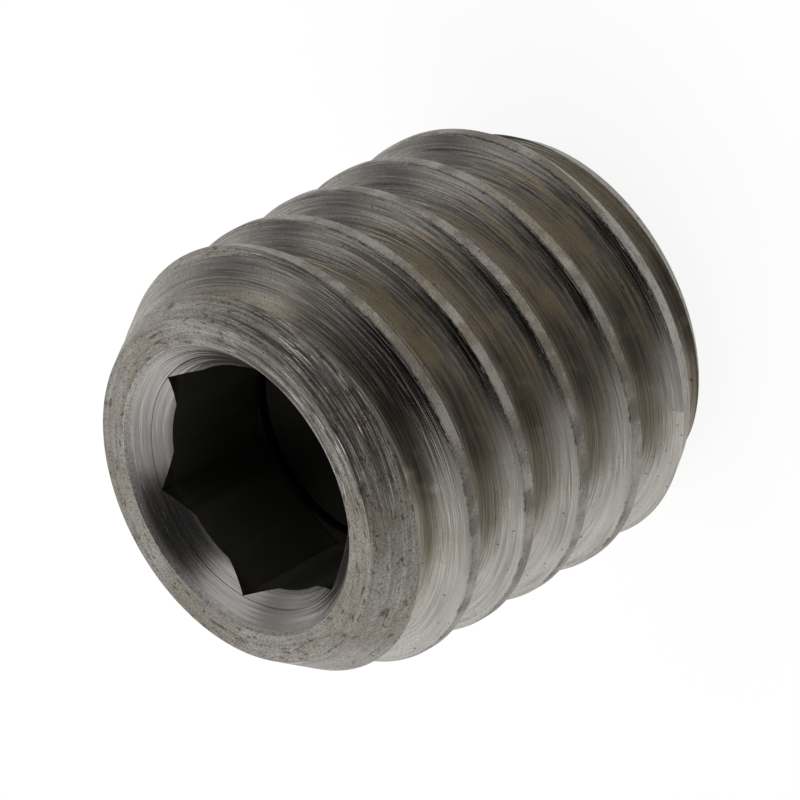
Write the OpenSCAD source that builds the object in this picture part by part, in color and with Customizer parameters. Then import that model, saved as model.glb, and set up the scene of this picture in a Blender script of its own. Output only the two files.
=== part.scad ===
// Orifice restrictor screw: a headless M6 screw with a hexagon socket,
// and a small metering hole along its axis.
// It stands on its point end, with the socket upwards. Z = 0 is the point's face.

/* [Thread] */
// Screw length, which is also the nominal thread size
screw_length = 6; // [5:0.5:8]
// Diameter over the thread crests
crest_d = 5.87; // [5.8:0.01:5.97]
// Thread pitch
pitch = 1; // [0.9:0.05:1.1]
// Width of the flat land left on each crest
land_w = 0.18; // [0.12:0.01:0.24]
// Included angle of the thread groove
thread_angle = 60; // [55:1:60]
// Radius at the bottom of the thread groove
root_r = 0.15; // [0.1:0.01:0.17]
// Where the groove crosses the point's face, as an angle about the axis
thread_start = 162; // [0:1:360]
// Straight stretches in one turn of the thread
turn_steps = 40; // [24:4:60]

/* [Ends] */
// Diameter of the flat ring round the socket
socket_face_d = 4.7; // [4.4:0.05:5]
// Diameter of the flat face at the point
point_face_d = 4.9; // [4.4:0.05:5.2]
// Slope of both end chamfers, measured from the axis
chamfer_angle = 30; // [25:1:45]

/* [Socket] */
// Width across the flats of the hexagon
socket_af = 3; // [2.9:0.01:3.1]
// Depth of the hexagon, from the socket face
socket_depth = 2; // [1.6:0.1:2.4]
// Diameter of the countersink at the socket face
countersink_d = 3.97; // [3.6:0.01:4.2]
// Included angle of the countersink
countersink_angle = 90; // [80:1:100]
// Diameter of the drilled hole that the hexagon was pressed into
pilot_d = 3.08; // [3.05:0.01:3.15]
// How much deeper than the hexagon the drill's full diameter goes
pilot_extra = 0.15; // [0.05:0.05:0.3]
// Included angle of the drill's point
drill_angle = 118; // [110:1:130]
// Turn of the hexagon about the axis
socket_turn = 14.5; // [0:0.5:59.5]

/* [Orifice] */
// Diameter of the metering hole
orifice_d = 1; // [0.5:0.1:1.5]

/* [Hidden] */
$fn = 96;
// How far a cutter stands out past the metal that it cuts
clear = 0.1;

crest_r = crest_d / 2;
half_angle = thread_angle / 2;
groove_w = pitch - land_w;
// Middle of the rounded root, where it touches both flanks
root_mid_r = crest_r - groove_w / 2 / tan(half_angle) + root_r / sin(half_angle);
socket_chamfer_h = (crest_d - socket_face_d) / 2 / tan(chamfer_angle);
point_chamfer_h = (crest_d - point_face_d) / 2 / tan(chamfer_angle);
countersink_h = countersink_d / 2 / tan(countersink_angle / 2);
pilot_depth = socket_depth + pilot_extra;
drill_point_h = pilot_d / 2 / tan(drill_angle / 2);

// Section of the groove cutter as [radius, height], from its lower outer corner round the root
root_arc_steps = 4;
groove_section = concat(
    [[crest_r + clear, -groove_w / 2 - clear * tan(half_angle)]],
    [for (i = [0:root_arc_steps])
        let (a = 90 - half_angle - i * (180 - thread_angle) / root_arc_steps)
        [root_mid_r - root_r * cos(a), -root_r * sin(a)]],
    [[crest_r + clear, groove_w / 2 + clear * tan(half_angle)]]
);
section_points = len(groove_section);

// The cutter starts and ends a whole turn past the metal
first_step = -turn_steps;
last_step = ceil(screw_length / pitch + 1) * turn_steps;
rings = last_step - first_step;

// One point of the groove section, carried along the helix
function on_helix(step, p) =
    let (a = thread_start + 360 * step / turn_steps)
    [p[0] * cos(a), p[0] * sin(a), p[1] + pitch * step / turn_steps];

module groove_cutter() {
    n = section_points;
    points = [for (k = [first_step:last_step], p = groove_section) on_helix(k, p)];
    walls = [for (k = [0:rings - 1], i = [0:n - 1])
        let (j = (i + 1) % n, a = k * n, b = a + n)
        each [[a + i, b + i, a + j], [a + j, b + i, b + j]]];
    first_cap = [[for (i = [0:n - 1]) i]];
    last_cap = [[for (i = [n - 1:-1:0]) rings * n + i]];
    polyhedron(points, concat(walls, first_cap, last_cap));
}

// The bar turned to the crest diameter, with a chamfer at each end
module turned_blank() {
    rotate_extrude()
        polygon([
            [0, 0],
            [point_face_d / 2, 0],
            [crest_r, point_chamfer_h],
            [crest_r, screw_length - socket_chamfer_h],
            [socket_face_d / 2, screw_length],
            [0, screw_length]
        ]);
}

// Countersink, drilled hole and hexagon, all on the axis
module socket_cutter() {
    translate([0, 0, screw_length]) {
        rotate_extrude()
            polygon([
                [0, clear],
                [countersink_d / 2 + clear * tan(countersink_angle / 2), clear],
                [0, -countersink_h]
            ]);
        rotate_extrude()
            polygon([
                [0, 0],
                [pilot_d / 2, 0],
                [pilot_d / 2, -pilot_depth],
                [0, -pilot_depth - drill_point_h]
            ]);
        rotate([0, 0, socket_turn])
            translate([0, 0, -socket_depth])
                cylinder(d = socket_af / cos(30), h = socket_depth, $fn = 6);
    }
}

module restrictor_screw() {
    color("silver")
        difference() {
            turned_blank();
            groove_cutter();
            socket_cutter();
            translate([0, 0, -clear])
                cylinder(d = orifice_d, h = screw_length);
        }
}

restrictor_screw();
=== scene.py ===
"""Orifice restrictor screw: the looks of one headless M6 screw, standing on its point end."""

import math

import bpy
from mathutils import Matrix, Vector


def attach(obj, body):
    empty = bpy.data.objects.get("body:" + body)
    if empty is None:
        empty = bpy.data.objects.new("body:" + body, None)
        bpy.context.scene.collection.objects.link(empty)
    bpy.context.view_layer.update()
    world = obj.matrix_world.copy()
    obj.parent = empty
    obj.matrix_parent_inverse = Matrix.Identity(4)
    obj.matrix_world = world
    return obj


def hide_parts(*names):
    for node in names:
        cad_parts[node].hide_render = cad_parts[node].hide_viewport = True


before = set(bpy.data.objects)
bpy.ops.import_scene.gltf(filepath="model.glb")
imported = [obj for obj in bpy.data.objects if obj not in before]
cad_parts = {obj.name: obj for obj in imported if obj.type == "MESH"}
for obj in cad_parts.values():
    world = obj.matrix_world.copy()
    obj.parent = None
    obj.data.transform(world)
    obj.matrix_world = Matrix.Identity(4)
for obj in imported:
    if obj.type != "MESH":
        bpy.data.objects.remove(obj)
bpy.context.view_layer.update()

# ---------------------------------------------------------------- sizes, in millimetres
MM = 0.001
LENGTH = 6.0
CREST_R = 2.935
PITCH = 1.0
LAND_W = 0.18
HALF_ANGLE = math.radians(30)
ROOT_R = 0.15
CREST_EDGE_R = 0.03
THREAD_START = math.radians(162)
SPARE_TURNS = 2

SOCKET_FACE_R = 2.35
POINT_FACE_R = 2.45
CHAMFER_ANGLE = math.radians(30)
FACE_EDGE_R = 0.012
CLEAR = 0.3

SOCKET_AF = 3.0
SOCKET_DEPTH = 2.0
SOCKET_TURN = math.radians(14.5)
HEX_HALF_SECTOR = math.radians(30)
COUNTERSINK_R = 1.985
COUNTERSINK_EDGE_R = 0.006
PILOT_R = 1.54
PILOT_DEPTH = 2.15
DRILL_HALF_ANGLE = math.radians(59)
ORIFICE_R = 0.5
CORNER_CIRCLE_R = 1.732
SCRIBE_HALF_W = 0.008

# How finely the round forms are divided.
TURN_STEPS = 240
LATHE_STEPS = 288
HOLE_STEPS = 96
CREST_EDGE_STEPS = 3
ROOT_STEPS = 8
LATHE_EDGE_STEPS = 4

# Points closer than this are one point: while the tools are made, and in the finished screw.
SAME_POINT = 1e-4
SAME_POINT_AT_LAST = 2e-4
SMOOTH_UP_TO = math.radians(28)
START_PLANE = 0.1

# ---------------------------------------------------------------- the view
IMAGE_PX = 800
FOCAL_PX = 14000
SENSOR_MM = 36
AXIS_TILT = math.radians(51.49)
AXIS_TURN = math.radians(-28.6)
FACE_CENTRE_PX = (235.6, 491.0)
PX_PER_MM = 79.2
CLIP_M = (0.01, 10)


# ---------------------------------------------------------------- finishes
CUT_STEEL = (0.42, 0.40, 0.37, 1)
STAINED_STEEL = (0.285, 0.255, 0.205, 1)
ROOT_BROWN = (0.285, 0.248, 0.188, 1)
# Tan film in the root, painted paler on one side as painted light.
ROOT_PALE_LIT = (0.52, 0.45, 0.34, 1)
TAN_DIRT = (0.42, 0.32, 0.18, 1)
# Bright fine scratches, and also painted glints on the turned rings and the thread's hair lines.
BRIGHT_SCRATCH_AND_GLINT = (0.62, 0.60, 0.57, 1)
# Dark grime in lines, pits and nicks; also the colour of painted shade and painted dark reflections.
GRIME_AND_SHADE = (0.05, 0.044, 0.036, 1)
RUST = (0.095, 0.052, 0.032, 1)
CREST_LIGHT = (0.31, 0.29, 0.262, 1)
CREST_DARK = (0.13, 0.118, 0.10, 1)
FACE_STEEL = (0.405, 0.385, 0.357, 1)
BORED_STEEL = (0.42, 0.405, 0.385, 1)
# Painted shade and a painted reflection inside the socket.
SOCKET_SHADE = (0.10, 0.097, 0.085, 1)
SOCKET_LIT_WALL = (0.26, 0.25, 0.215, 1)
SOCKET_FLOOR_SHADE = (0.012, 0.011, 0.009, 1)

RUST_SPOT = (0.03, -2.545)

THREAD_BUMP_MM = 0.0055
TURNED_BUMP_MM = 0.006
SOCKET_BUMP_MM = 0.004

# Sides of the screw that differ: the way they face round the axis in degrees, then where they
# start to show and where they show in full, as the cosine of the angle from that way. Several
# hold painted light and shade: a dark reflection, a black patch, a pool of shade, a paler root
# and glints on the turned ends.
TAN_SIDE = (-77, 0.74, 0.98)
DARK_REFLECTION_SIDE = (-40, 0.82, 0.97)
BLACK_REFLECTION_SIDE = (-72, 0.86, 0.97)
SOFT_SIDE = (-130, 0.60, 0.95)
BROWN_SIDE = (-120, 0.87, 0.98)
LIT_ROOT_SIDE = (-44, 0.80, 0.97)
SHADE_POOL_SIDE = (-104, 0.93, 0.995)
LINED_GLINT_SIDE = (-73, 0.60, 0.97)

# ---------------------------------------------------------------- floor, studio and lamp
FLOOR_M = 0.8
FLOOR_WHITE = (0.8, 0.8, 0.8, 1)
FLOOR_SHADE = (0.2, 0.2, 0.2, 1)
FLOOR_GLOW = (0.89, 0.89, 0.89, 1)

# Places in the studio, by their direction from the screw.
HOOD = (0.03, -0.60, 0.80)
LOW_HOOD = (-0.30, -0.85, 0.43)
WINDOW = (0.70, -0.07, 0.71)
DULL_CORNER = (0.80, 0.42, 0.43)
BRIGHT_CORNER = (0.92, -0.28, 0.27)

KEY_DIRECTION = (-0.35, 0.3, 0.89)
KEY_DISTANCE_MM = 60
KEY_SIZE_MM = 45
KEY_IRRADIANCE = 0.4

# Places of sockets that share a name, by their number on the node.
OBJECT_COORDINATES = 3
COLOUR_A = 6
COLOUR_B = 7
COLOUR_OUT = 2


# ---------------------------------------------------------------- modelling helpers
def deselect():
    bpy.ops.object.select_all(action="DESELECT")


def make_active(piece):
    deselect()
    piece.select_set(True)
    bpy.context.view_layer.objects.active = piece


def edit(piece, select_mode="VERT"):
    make_active(piece)
    bpy.ops.object.mode_set(mode="EDIT")
    bpy.ops.mesh.select_mode(type=select_mode)
    bpy.ops.mesh.select_all(action="DESELECT")


def done():
    bpy.ops.object.mode_set(mode="OBJECT")


def pick_vertices(piece, wanted):
    """Selects in edit mode the vertices for which wanted(place) is true."""
    bpy.ops.mesh.select_all(action="DESELECT")
    bpy.ops.object.mode_set(mode="OBJECT")
    for vertex in piece.data.vertices:
        vertex.select = wanted(vertex.co)
    bpy.ops.object.mode_set(mode="EDIT")


def apply_modifier(piece, modifier):
    make_active(piece)
    bpy.ops.object.modifier_apply(modifier=modifier.name)


def profile(name, points, rounded=()):
    """A wire in the XZ plane through (radius, height) points.

    Each of rounded is the number of a point, the size of its rounding and the steps in it.
    """
    deselect()
    bpy.ops.mesh.primitive_plane_add(size=START_PLANE, location=(0, 0, 0))
    wire = bpy.context.object
    wire.name = name
    edit(wire)
    bpy.ops.mesh.select_all(action="SELECT")
    bpy.ops.mesh.merge(type="CENTER")
    first = points[0]
    bpy.ops.transform.translate(value=(first[0], 0, first[1]))
    for start, end in zip(points, points[1:]):
        step = (end[0] - start[0], 0, end[1] - start[1])
        bpy.ops.mesh.extrude_region_move(TRANSFORM_OT_translate={"value": step})
    for index, size, steps in rounded:
        corner = points[index]
        pick_vertices(wire, lambda co: math.hypot(co.x - corner[0], co.z - corner[1]) < SAME_POINT)
        bpy.ops.mesh.bevel(offset=size, segments=steps, affect="VERTICES", profile=0.5)
    done()
    return wire


def merge_and_face_out(piece):
    edit(piece)
    bpy.ops.mesh.select_all(action="SELECT")
    bpy.ops.mesh.remove_doubles(threshold=SAME_POINT)
    bpy.ops.mesh.normals_make_consistent(inside=False)
    done()


def turn(wire, steps, rise=0.0, turns=1):
    """Turns a profile about the screw's axis; rise makes a helix of it."""
    screw = wire.modifiers.new("turned", "SCREW")
    screw.axis = "Z"
    screw.angle = math.tau
    screw.screw_offset = rise
    screw.iterations = turns
    screw.steps = screw.render_steps = steps
    screw.use_merge_vertices = True
    screw.merge_threshold = SAME_POINT
    screw.use_smooth_shade = True
    apply_modifier(wire, screw)
    merge_and_face_out(wire)
    return wire


def boolean(piece, tool, operation):
    cut = piece.modifiers.new(operation.lower(), "BOOLEAN")
    cut.operation = operation
    cut.solver = "EXACT"
    cut.material_mode = "TRANSFER"
    cut.object = tool
    apply_modifier(piece, cut)
    bpy.data.objects.remove(tool)


# ---------------------------------------------------------------- the screw's solids
def open_edges(thread, at_this_end):
    """The numbers of the thread's open edges, for the end where at_this_end(height) is true."""
    edit(thread, "EDGE")
    bpy.ops.mesh.select_non_manifold(extend=False, use_wire=False, use_multi_face=False,
                                     use_non_contiguous=False, use_verts=False)
    done()
    mesh = thread.data
    return [edge.index for edge in mesh.edges
            if edge.select and at_this_end(mesh.vertices[edge.vertices[0]].co.z)]


def close_to_axis(thread, edges, apex):
    """Closes an end by drawing its open edges in to one point of the axis, at the height apex."""
    edit(thread, "EDGE")
    done()
    for index in edges:
        thread.data.edges[index].select = True
    bpy.ops.object.mode_set(mode="EDIT")
    bpy.ops.mesh.extrude_edges_move()
    bpy.ops.transform.resize(value=(0, 0, 0), center_override=(0, 0, apex))
    bpy.ops.mesh.remove_doubles(threshold=SAME_POINT)
    done()


def thread_form():
    """The whole thread, running on past both ends of the screw and closed there."""
    groove_half = (PITCH - LAND_W) / 2
    depth = groove_half / math.tan(HALF_ANGLE)
    start = -THREAD_START / math.tau * PITCH - PITCH / 2 - SPARE_TURNS * PITCH
    turns = int(LENGTH / PITCH) + 2 * SPARE_TURNS + 1
    root_cut = ROOT_R / math.tan(HALF_ANGLE)
    wire = profile("thread_form", [
        (CREST_R, start),
        (CREST_R, start + LAND_W / 2),
        (CREST_R - depth, start + PITCH / 2),
        (CREST_R, start + PITCH - LAND_W / 2),
        (CREST_R, start + PITCH),
    ], rounded=[
        (1, CREST_EDGE_R, CREST_EDGE_STEPS),
        (2, root_cut, ROOT_STEPS),
        (3, CREST_EDGE_R, CREST_EDGE_STEPS),
    ])
    thread = turn(wire, TURN_STEPS, rise=PITCH, turns=turns)
    top = start + turns * PITCH
    middle = start + turns * PITCH / 2
    close_to_axis(thread, open_edges(thread, lambda z: z < middle), start + PITCH / 2)
    close_to_axis(thread, open_edges(thread, lambda z: z > middle), top - PITCH / 2 + PITCH)
    merge_and_face_out(thread)
    return thread


def turned_blank():
    """The bar's outline, with both chamfers and their slightly broken edges."""
    bar_r = CREST_R + CLEAR
    slope = math.tan(CHAMFER_ANGLE)
    wire = profile("turned_blank", [
        (0, 0),
        (POINT_FACE_R, 0),
        (bar_r, (bar_r - POINT_FACE_R) / slope),
        (bar_r, LENGTH - (bar_r - SOCKET_FACE_R) / slope),
        (SOCKET_FACE_R, LENGTH),
        (0, LENGTH),
    ], rounded=[(1, FACE_EDGE_R, LATHE_EDGE_STEPS), (4, FACE_EDGE_R, LATHE_EDGE_STEPS)])
    return turn(wire, LATHE_STEPS)


def socket_bore():
    """Countersink and drilled hole, as one tool on the axis."""
    outer = COUNTERSINK_R + CLEAR
    wire = profile("socket_bore", [
        (0, LENGTH + CLEAR),
        (outer, LENGTH + CLEAR),
        (outer, LENGTH),
        (COUNTERSINK_R, LENGTH),
        (PILOT_R, LENGTH - (COUNTERSINK_R - PILOT_R)),
        (PILOT_R, LENGTH - PILOT_DEPTH),
        (0, LENGTH - PILOT_DEPTH - PILOT_R / math.tan(DRILL_HALF_ANGLE)),
    ], rounded=[(3, COUNTERSINK_EDGE_R, LATHE_EDGE_STEPS)])
    return turn(wire, LATHE_STEPS)


def hexagon():
    deselect()
    height = SOCKET_DEPTH + CLEAR
    bpy.ops.mesh.primitive_cylinder_add(
        vertices=6, radius=SOCKET_AF / 2 / math.cos(HEX_HALF_SECTOR), depth=height,
        location=(0, 0, LENGTH - SOCKET_DEPTH + height / 2),
        rotation=(0, 0, SOCKET_TURN + HEX_HALF_SECTOR))
    tool = bpy.context.object
    tool.name = "hexagon"
    bpy.ops.object.transform_apply(location=True, rotation=True, scale=True)
    return tool


def orifice():
    deselect()
    bpy.ops.mesh.primitive_cylinder_add(
        vertices=HOLE_STEPS, radius=ORIFICE_R, depth=LENGTH, location=(0, 0, LENGTH / 2 - CLEAR))
    tool = bpy.context.object
    tool.name = "orifice"
    bpy.ops.object.transform_apply(location=True, rotation=True, scale=True)
    return tool


# ---------------------------------------------------------------- shader building
class Value:
    """A socket that carries a number; Python arithmetic on it adds Math nodes."""

    def __init__(self, shader, socket):
        self.shader = shader
        self.socket = socket

    def math(self, operation, *operands):
        return self.shader.add("ShaderNodeMath", {"operation": operation}, dict(enumerate(operands)))

    def __add__(self, other):
        return self.math("ADD", self, other)

    def __radd__(self, other):
        return self.math("ADD", other, self)

    def __sub__(self, other):
        return self.math("SUBTRACT", self, other)

    def __rsub__(self, other):
        return self.math("SUBTRACT", other, self)

    def __mul__(self, other):
        return self.math("MULTIPLY", self, other)

    def __rmul__(self, other):
        return self.math("MULTIPLY", other, self)

    def __truediv__(self, other):
        return self.math("DIVIDE", self, other)

    def __rtruediv__(self, other):
        return self.math("DIVIDE", other, self)

    def cos(self):
        return self.math("COSINE", self)

    def sin(self):
        return self.math("SINE", self)

    def root(self):
        return self.math("SQRT", self)

    def at_most(self, other):
        return self.math("MINIMUM", self, other)

    def at_least(self, other):
        return self.math("MAXIMUM", self, other)

    def rising(self, low, high):
        """0 below low, 1 above high, smooth between; falling when low is the greater."""
        return self.shader.add("ShaderNodeMapRange", {"interpolation_type": "SMOOTHSTEP"},
                               {"Value": self, "From Min": low, "From Max": high})


class Shader:
    """Adds the nodes of one material or world."""

    def __init__(self, owner):
        owner.use_nodes = True
        self.owner = owner
        self.tree = owner.node_tree
        self.tree.nodes.clear()

    def add(self, kind, settings=None, inputs=None, output=0):
        """One node: its settings first, then its inputs; gives back the chosen output."""
        node = self.tree.nodes.new(kind)
        for name, setting in (settings or {}).items():
            setattr(node, name, setting)
        for name, value in (inputs or {}).items():
            if isinstance(value, Value):
                self.tree.links.new(value.socket, node.inputs[name])
            else:
                node.inputs[name].default_value = value
        return Value(self, node.outputs[output]) if len(node.outputs) else None

    def parts(self, vector):
        return [self.add("ShaderNodeSeparateXYZ", None, {0: vector}, axis) for axis in range(3)]

    def vector(self, x, y, z):
        return self.add("ShaderNodeCombineXYZ", None, {0: x, 1: y, 2: z})

    def noise(self, vector, w=0.0, scale=1.0, detail=2.0, roughness=0.5):
        return self.add("ShaderNodeTexNoise", {"noise_dimensions": "4D"},
                        {"Vector": vector, "W": w, "Scale": scale, "Detail": detail,
                         "Roughness": roughness})

    def blend(self, factor, first, second):
        """A colour that goes from first to second as factor goes from 0 to 1."""
        return self.add("ShaderNodeMix", {"data_type": "RGBA", "clamp_factor": True},
                        {"Factor": factor, COLOUR_A: first, COLOUR_B: second}, COLOUR_OUT)

    def scaled(self, colour, amount):
        return self.add("ShaderNodeVectorMath", {"operation": "SCALE"}, {0: colour, "Scale": amount})

    def metal(self, colour, roughness, metallic, height, bump_mm):
        bump = self.add("ShaderNodeBump", None,
                        {"Strength": 1.0, "Distance": bump_mm * MM, "Height": height})
        steel = self.add("ShaderNodeBsdfPrincipled", None,
                         {"Base Color": colour, "Metallic": metallic, "Roughness": roughness,
                          "Normal": bump})
        self.add("ShaderNodeOutputMaterial", None, {"Surface": steel})


# ---------------------------------------------------------------- the screw's finishes
def place_in_mm(shader):
    """The point's place in millimetres, whole and as x, y, z, and its distance from the axis."""
    place = shader.add("ShaderNodeTexCoord", output=OBJECT_COORDINATES)
    place = shader.scaled(place, 1 / MM)
    x, y, z = shader.parts(place)
    return place, x, y, z, (x * x + y * y).root()


def toward(side, x, y, r):
    """1 on this side of the screw, fading out on either hand."""
    degrees, low, high = side
    angle = math.radians(degrees)
    return ((x * math.cos(angle) + y * math.sin(angle)) / r).rising(low, high)


def thread_steel():
    """Cut thread: fine lines along the helix, dull ragged crests and tan stain in the root; on some
    sides painted shade, painted dark reflections and a painted paler root.
    """
    shader = Shader(bpy.data.materials.new("thread_steel"))
    place, x, y, z, r = place_in_mm(shader)
    groove_turn = z * (math.tau / PITCH) + THREAD_START
    turn_cos = groove_turn.cos()
    turn_sin = groove_turn.sin()
    across_x = (x * turn_cos + y * turn_sin) / r
    across_y = (x * turn_sin - y * turn_cos) / r

    def lines(fineness, rate, seed, detail):
        """Noise drawn out along the helix, the same round and round the joint of a turn."""
        across = shader.vector(across_x * fineness, across_y * fineness, x * rate + z * (rate * 0.7))
        return shader.noise(across, y * rate - z * (rate * 0.4) + seed, detail=detail, roughness=0.55)

    tool_lines = lines(8.0, 0.9, 0.0, 2.0).rising(0.34, 0.66)
    hair_lines = lines(17.0, 1.2, 4.0, 1.0).rising(0.40, 0.68)
    bands = lines(2.6, 0.6, 8.0, 2.0).rising(0.34, 0.66)
    blotches = shader.noise(place, scale=0.9, detail=3.0)
    patches = shader.noise(place, 2.0, scale=3.2, detail=3.0)
    grain = shader.noise(place, scale=38.0, detail=2.0, roughness=0.6)
    ragged = shader.noise(place, 6.0, scale=10.0, detail=5.0, roughness=0.65)
    pits = shader.noise(place, 5.0, scale=15.0, detail=2.0).rising(0.69, 0.74)
    rust = shader.noise(place, 9.0, scale=7.0, detail=4.0).rising(0.69, 0.74)

    depth = CREST_R - r
    land = (ragged - 0.5) * 0.2 - across_x
    crest = land.rising(0.83, 0.89) * r.rising(CREST_R - 0.08, CREST_R - 0.03)
    nicks = land.rising(0.80, 0.825) * land.rising(0.87, 0.84) * patches.rising(0.50, 0.62)
    root = depth.rising(0.33, 0.55)
    first_turn = z.rising(4.5, 4.85)
    tan_side = toward(TAN_SIDE, x, y, r) * (1 - first_turn * 0.7)
    # Painted dark reflection: on this side the flanks outside the root are darkened.
    dark_reflection_side = toward(DARK_REFLECTION_SIDE, x, y, r)
    # Painted dark reflection: a near-black patch on the first turn on this side.
    black_reflection_side = toward(BLACK_REFLECTION_SIDE, x, y, r) * first_turn
    # Fewer painted glints and fainter dark grain on this side, and smoother lines near the crest.
    soft_side = toward(SOFT_SIDE, x, y, r)
    brown_side = toward(BROWN_SIDE, x, y, r)
    # Tan film in the root, painted paler on this side as painted light.
    lit_pale_root = toward(LIT_ROOT_SIDE, x, y, r) * root * (1 - first_turn * 0.7)
    # Painted shade: on this side the deep flanks, in patches, and the crests are darkened.
    shade_pool_side = toward(SHADE_POOL_SIDE, x, y, r)
    shade_pool = shade_pool_side * depth.rising(0.16, 0.42) * patches.rising(0.25, 0.5)
    caked = tan_side * (patches * 0.7 + tool_lines * 0.3).rising(0.42, 0.66) * depth.rising(0.06, 0.2)
    stain = depth * (1.3 - first_turn * 0.4) + tan_side * 0.35 + brown_side * 0.4
    stain = stain + (blotches - 0.5) * 0.8 + (patches - 0.5) * 0.5 + (bands - 0.5) * 0.2
    stain = stain.rising(0.2, 1.15)
    grime = (1 - tool_lines) * (1 - bands) * (1 - root)
    tan_gaps = (1 - tool_lines) * tan_side * (0.15 + depth.rising(0.26, 0.08) * 0.55)
    crest_dirt = (grain * 0.5 + patches * 0.7 + blotches * 0.5).rising(0.7, 0.98)

    flank = shader.blend(stain, CUT_STEEL, STAINED_STEEL)
    # Dark grime between the lines, plus the painted dark reflection on one side.
    flank = shader.blend(grime * 0.45 + dark_reflection_side * (1 - root) * 0.52, flank, GRIME_AND_SHADE)
    flank = shader.blend(root * (0.9 - tool_lines * 0.3), flank, ROOT_BROWN)
    flank = shader.blend(lit_pale_root, flank, ROOT_PALE_LIT)
    flank = shader.blend(caked * 0.75, flank, TAN_DIRT)
    flank = shader.blend(tan_gaps, flank, GRIME_AND_SHADE)
    # Painted shade in the deep flanks on one side.
    flank = shader.blend(shade_pool * 0.65, flank, GRIME_AND_SHADE)
    # Painted dark reflection, with the hair lines left lighter in it.
    flank = shader.blend(black_reflection_side * (1 - hair_lines * 0.6) * 0.8, flank, GRIME_AND_SHADE)
    # Bright hair lines: partly scratches, partly painted glints, fewer on the soft side.
    flank = shader.blend(hair_lines * (0.28 - soft_side * 0.14), flank, BRIGHT_SCRATCH_AND_GLINT)
    flank = shader.blend(grain.rising(0.35, 0.7) * (0.34 - soft_side * 0.26), flank, GRIME_AND_SHADE)

    bar_skin = shader.blend(crest_dirt, CREST_LIGHT, CREST_DARK)
    bar_skin = shader.blend(hair_lines * 0.25, bar_skin, CREST_DARK)
    bar_skin = shader.blend(tan_side * blotches.rising(0.4, 0.6) * 0.15, bar_skin, TAN_DIRT)
    # Painted shade on the crests of one side.
    bar_skin = shader.blend(shade_pool_side * 0.25, bar_skin, GRIME_AND_SHADE)

    colour = shader.blend(crest, flank, bar_skin)
    colour = shader.blend(nicks * 0.6, colour, GRIME_AND_SHADE)
    colour = shader.blend(pits * 0.6, colour, GRIME_AND_SHADE)
    colour = shader.blend(rust * 0.8, colour, RUST)
    roughness = 0.18 + tool_lines * 0.06 + stain * 0.12 + crest * 0.22 + pits * 0.2
    metallic = 0.98 - stain * 0.12 - caked * 0.35 - lit_pale_root * 0.6
    metallic = metallic - tan_side * depth.rising(0.06, 0.3) * 0.5
    fine_lines = tool_lines * 0.5 + bands * 0.2 + hair_lines * 0.3
    smoothed = soft_side * depth.rising(0.35, 0.0) * 0.75
    height = fine_lines * (1 - crest * 0.6) * (1 - root * 0.2) * (1 - smoothed) * (0.8 + tan_side * 0.5)
    height = height + grain * (0.04 + crest * 0.5) * (1 - soft_side * 0.5)
    height = height + (patches + ragged) * crest * 1.6
    shader.metal(colour, roughness, metallic, height - pits - nicks, THREAD_BUMP_MM)
    return shader.owner


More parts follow.
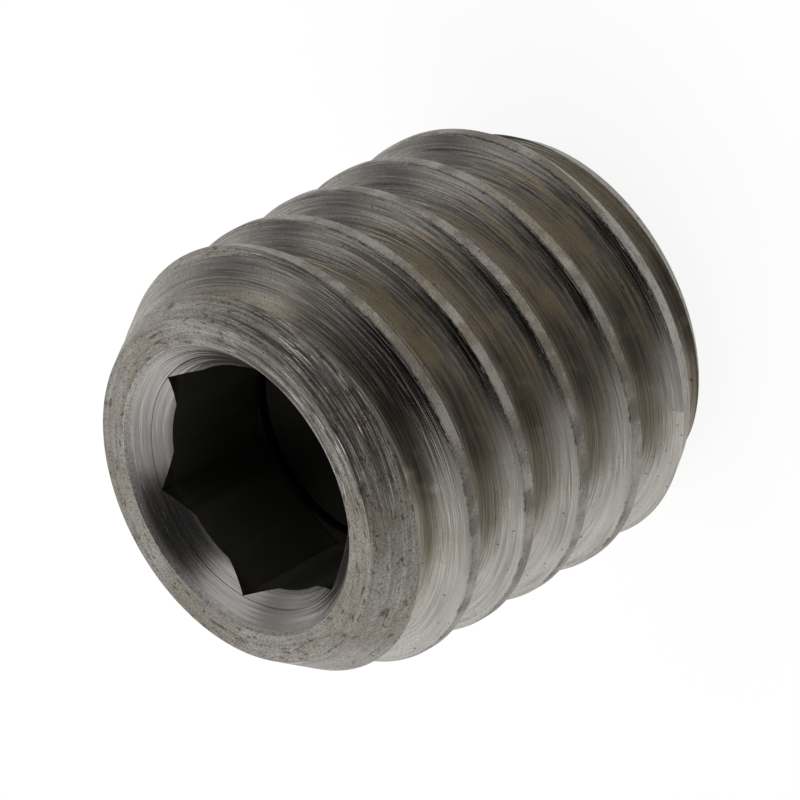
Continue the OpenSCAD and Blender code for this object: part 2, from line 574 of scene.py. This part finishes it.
def turned_steel():
    """Chamfers and end faces: fine turned rings, worn and pitted; on one side the rings carry painted
    shade and painted glints.
    """
    shader = Shader(bpy.data.materials.new("turned_steel"))
    place, x, y, z, r = place_in_mm(shader)
    near_end = z.rising(1.0, LENGTH - 1.0)
    from_end = z.at_most(LENGTH - z)
    along = r + from_end * math.tan(CHAMFER_ANGLE)

    def rings(fineness, rate, seed, low, high):
        """Noise drawn out round the axis, by the distance along the turned outline."""
        noise = shader.noise(shader.vector(along * fineness, x * rate, y * rate), seed, detail=2.0)
        return noise.rising(low, high)

    tool_rings = rings(22.0, 0.8, 0.0, 0.36, 0.64)
    hair_rings = rings(48.0, 1.4, 3.0, 0.36, 0.64)
    glints = rings(40.0, 2.2, 5.0, 0.60, 0.70)
    broad_rings = rings(6.0, 0.6, 7.0, 0.30, 0.70)
    blotches = shader.noise(place, 3.0, scale=1.5, detail=4.0)
    patches = shader.noise(place, 2.0, scale=4.5, detail=3.0)
    grain = shader.noise(place, 1.0, scale=30.0, detail=3.0, roughness=0.65)
    pits = shader.noise(place, 5.0, scale=16.0, detail=3.0).rising(0.645, 0.71)
    rust = shader.noise(place, 9.0, scale=6.0, detail=4.0)
    # On this side the rings have stronger real lines, painted shade between them and painted glints.
    lined_glint_side = toward(LINED_GLINT_SIDE, x, y, r) * near_end
    spot_x = x - RUST_SPOT[0]
    spot_y = y - RUST_SPOT[1]
    spot = (spot_x * spot_x + spot_y * spot_y).rising(0.03, 0.0) * near_end
    flecks = rings(16.0, 6.0, 11.0, 0.56, 0.66)
    speckle = shader.noise(place, 8.0, scale=34.0, detail=3.0, roughness=0.7).rising(0.56, 0.64)

    stain = (blotches * 0.6 + patches * 0.3 + broad_rings * 0.1).rising(0.36, 0.62)
    colour = shader.blend(stain * 0.8, FACE_STEEL, STAINED_STEEL)
    # Dark rings, with painted shade added on the lined side.
    colour = shader.blend((1 - tool_rings) * (0.22 + lined_glint_side * 0.6), colour, GRIME_AND_SHADE)
    colour = shader.blend((1 - hair_rings) * (0.16 + lined_glint_side * 0.3), colour, GRIME_AND_SHADE)
    colour = shader.blend(grain.rising(0.42, 0.66) * 0.34, colour, GRIME_AND_SHADE)
    colour = shader.blend(flecks * patches.rising(0.36, 0.56) * 0.7, colour, GRIME_AND_SHADE)
    # Painted glints, bright mostly on the lined side.
    colour = shader.blend(glints * (0.12 + lined_glint_side * 0.75), colour, BRIGHT_SCRATCH_AND_GLINT)
    colour = shader.blend(pits * 0.8, colour, GRIME_AND_SHADE)
    colour = shader.blend(speckle * (0.7 - lined_glint_side * 0.2), colour, GRIME_AND_SHADE)
    rusted = (rust * 0.5 + grain * 0.5 + spot * 0.2).rising(0.66, 0.74)
    colour = shader.blend(rusted * 0.8, colour, RUST)
    roughness = 0.32 + grain * 0.2 + pits * 0.2 - glints * lined_glint_side * 0.1
    fine_rings = tool_rings * (0.25 + lined_glint_side * 0.6) + hair_rings * (0.15 + lined_glint_side * 0.4)
    height = fine_rings + broad_rings * 0.15 + glints * lined_glint_side * 0.5 + grain * 0.45
    height = height - pits - speckle * 0.5 - flecks * 0.5
    shader.metal(colour, roughness, 0.95, height, TURNED_BUMP_MM)
    return shader.owner


def socket_steel():
    """Countersink with fine turned rings; the broached hexagon and the hole below it are painted dark
    as shade, with a painted paler reflection on one wall.
    """
    shader = Shader(bpy.data.materials.new("socket_steel"))
    place, x, y, z, r = place_in_mm(shader)
    rings = shader.noise(shader.vector(r * 24.0, x * 0.8, y * 0.8), detail=2.0).rising(0.36, 0.64)
    hair_rings = shader.noise(shader.vector(r * 60.0, x * 1.2, y * 1.2), 2.0).rising(0.52, 0.70)
    broad_rings = shader.noise(shader.vector(r * 8.0, x * 0.7, y * 0.7), 4.0, detail=2.0)
    grain = shader.noise(place, 1.0, scale=26.0, detail=3.0)
    broach = shader.noise(shader.vector(x * 14.0, y * 14.0, z * 0.6), detail=2.0)
    inside = r.rising(1.62, 1.50).at_least(z.rising(LENGTH - 0.35, LENGTH - 0.6))
    floor = z.rising(LENGTH - SOCKET_DEPTH + 0.1, LENGTH - SOCKET_DEPTH - 0.1)
    # Painted reflection: a paler patch on one wall of the hexagon.
    wall_reflection = (y - x * 0.2).rising(0.9, 1.4) * x.rising(0.12, -0.02)
    rim = r.rising(COUNTERSINK_R - 0.12, COUNTERSINK_R)
    off_circle = r - CORNER_CIRCLE_R
    scribed = (off_circle * off_circle).rising(SCRIBE_HALF_W ** 2, 0.0) * (1 - inside)

    colour = shader.blend((1 - rings) * 0.2, BORED_STEEL, GRIME_AND_SHADE)
    colour = shader.blend(hair_rings * 0.22, colour, GRIME_AND_SHADE)
    colour = shader.blend(rim * 0.8, colour, FACE_STEEL)
    colour = shader.blend(rim * grain.rising(0.42, 0.66) * 0.45, colour, GRIME_AND_SHADE)
    colour = shader.blend(scribed * 0.65, colour, GRIME_AND_SHADE)
    # Painted shade on the walls, lightened by the broached texture and the painted reflection.
    wall = shader.blend(broach * 0.5 + wall_reflection * 0.5, SOCKET_SHADE, SOCKET_LIT_WALL)
    colour = shader.blend(inside, colour, wall)
    # Painted shade: the socket's floor and the hole below it near black.
    colour = shader.blend(floor, colour, SOCKET_FLOOR_SHADE)
    roughness = 0.15 + broad_rings * 0.1 + grain * 0.08 + inside * 0.25 + rim * 0.22
    height = (rings * 0.6 + broad_rings * 0.35 + hair_rings * 0.3) * (1 - inside)
    height = height + broach * inside + grain * (0.15 + rim * 0.6)
    shader.metal(colour, roughness, 0.97 - inside * 0.1, height, SOCKET_BUMP_MM)
    return shader.owner


def build_screw():
    """The blank is threaded, bored, broached and drilled, and each tool leaves its own finish."""
    threads = thread_steel()
    turned = turned_steel()
    bored = socket_steel()
    screw = thread_form()
    screw.data.materials.append(threads)
    blank = turned_blank()
    blank.data.materials.append(turned)
    bore = socket_bore()
    bore.data.materials.append(bored)
    hexa = hexagon()
    hexa.data.materials.append(bored)
    hole = orifice()
    hole.data.materials.append(bored)
    boolean(screw, blank, "INTERSECT")
    boolean(screw, bore, "DIFFERENCE")
    boolean(screw, hexa, "DIFFERENCE")
    boolean(screw, hole, "DIFFERENCE")
    screw.name = "restrictor_screw_body"
    edit(screw)
    bpy.ops.mesh.select_all(action="SELECT")
    bpy.ops.mesh.remove_doubles(threshold=SAME_POINT_AT_LAST)
    bpy.ops.mesh.dissolve_degenerate(threshold=SAME_POINT)
    bpy.ops.mesh.delete_loose()
    bpy.ops.mesh.select_all(action="SELECT")
    bpy.ops.mesh.normals_make_consistent(inside=False)
    done()
    make_active(screw)
    screw.scale = (MM, MM, MM)
    bpy.ops.object.transform_apply(location=False, rotation=False, scale=True)
    bpy.ops.object.shade_smooth_by_angle(angle=SMOOTH_UP_TO)
    return screw


# ---------------------------------------------------------------- camera, floor and lamps
def add_camera():
    """Places the camera from the direction in which the screw's axis runs away from it."""
    away = Vector((math.sin(AXIS_TILT) * math.cos(AXIS_TURN),
                   math.sin(AXIS_TILT) * math.sin(AXIS_TURN), math.cos(AXIS_TILT)))
    to_viewer = Vector((0, 0, -1))
    near = (to_viewer - to_viewer.dot(away) * away).normalized()
    across = away.cross(near)
    # In the scene away, near and across run along -Z, -Y and -X.
    scene_axes = [Vector((0, 0, -1)), Vector((0, -1, 0)), Vector((-1, 0, 0))]

    def in_world(v):
        return sum((v.dot(a) * w for a, w in zip((away, near, across), scene_axes)), Vector())

    right, down, ahead = (in_world(Vector(v)) for v in ((1, 0, 0), (0, 1, 0), (0, 0, 1)))
    depth = FOCAL_PX / PX_PER_MM
    offset_x, offset_y = ((p - IMAGE_PX / 2) / FOCAL_PX * depth for p in FACE_CENTRE_PX)
    place = Vector((0, 0, LENGTH)) - right * offset_x - down * offset_y - ahead * depth
    turn_to = Matrix((right, -down, -ahead)).transposed()
    data = bpy.data.cameras.new("camera")
    data.sensor_width = SENSOR_MM
    data.lens = FOCAL_PX / IMAGE_PX * SENSOR_MM
    data.clip_start, data.clip_end = CLIP_M
    camera = bpy.data.objects.new("camera", data)
    camera.matrix_world = Matrix.Translation(place * MM) @ turn_to.to_4x4()
    bpy.context.collection.objects.link(camera)
    bpy.context.scene.camera = camera


def add_floor():
    """A pale floor: white to the camera and to reflections, and plain grey to the light."""
    deselect()
    bpy.ops.mesh.primitive_plane_add(size=FLOOR_M, location=(0, 0, 0))
    floor = bpy.context.object
    floor.name = "floor"
    shader = Shader(bpy.data.materials.new("floor_white"))
    seen = shader.add("ShaderNodeLightPath", output="Is Camera Ray")
    seen = seen + shader.add("ShaderNodeLightPath", output="Is Glossy Ray")
    seen = seen + shader.add("ShaderNodeLightPath", output="Is Transmission Ray")
    lit = shader.add("ShaderNodeBsdfDiffuse", None, {"Color": FLOOR_WHITE})
    shaded = shader.add("ShaderNodeBsdfDiffuse", None, {"Color": FLOOR_SHADE})
    glow = shader.add("ShaderNodeEmission", None, {"Color": FLOOR_GLOW, "Strength": 1.0})
    white = shader.add("ShaderNodeAddShader", None, {0: shaded, 1: glow})
    surface = shader.add("ShaderNodeMixShader", None, {"Fac": seen, 1: lit, 2: white})
    shader.add("ShaderNodeOutputMaterial", None, {"Surface": surface})
    floor.data.materials.append(shader.owner)


def add_studio():
    """A pale room: white low down, with two dark hoods, a window, a dull and a bright corner."""
    world = bpy.context.scene.world or bpy.data.worlds.new("studio")
    bpy.context.scene.world = world
    shader = Shader(world)
    direction = shader.add("ShaderNodeTexCoord", output="Generated")
    x, y, z = shader.parts(direction)

    def near(place, low, high):
        """1 in this place of the studio, fading out round it."""
        return (x * place[0] + y * place[1] + z * place[2]).rising(low, high)

    room = 0.40 - x * 0.20 + y.rising(-0.1, 0.8) * 0.62
    room = room * (1 - near(HOOD, 0.74, 0.885) * 0.985)
    room = room * (1 - near(DULL_CORNER, 0.8, 0.96) * 0.4)
    room = room + near(WINDOW, 0.89, 0.97) * 0.65
    room = room * (1 - near(LOW_HOOD, 0.93, 0.985) * 0.7)
    room = room + near(BRIGHT_CORNER, 0.93, 0.99) * 0.15
    room = room + (1 - room) * z.rising(0.22, 0.04)
    glow = shader.add("ShaderNodeBackground", None, {"Color": (1, 1, 1, 1), "Strength": room})
    shader.add("ShaderNodeOutputWorld", None, {"Surface": glow})


def add_lamp(name, direction, distance_mm, size_mm, irradiance):
    """A square soft lamp that gives the screw this irradiance."""
    lamp = bpy.data.lights.new(name, "AREA")
    distance = distance_mm * MM
    lamp.energy = irradiance * math.pi * distance * distance
    lamp.size = size_mm * MM
    holder = bpy.data.objects.new(name, lamp)
    out = Vector(direction).normalized()
    holder.location = Vector((0, 0, LENGTH / 2 * MM)) + out * distance
    holder.rotation_euler = out.to_track_quat("Z", "Y").to_euler()
    bpy.context.collection.objects.link(holder)


screw = build_screw()
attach(screw, "root")
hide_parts("restrictor_screw")
add_camera()
add_floor()
add_studio()
add_lamp("key", KEY_DIRECTION, KEY_DISTANCE_MM, KEY_SIZE_MM, KEY_IRRADIANCE)

bpy.context.scene.view_settings.view_transform = "Standard"
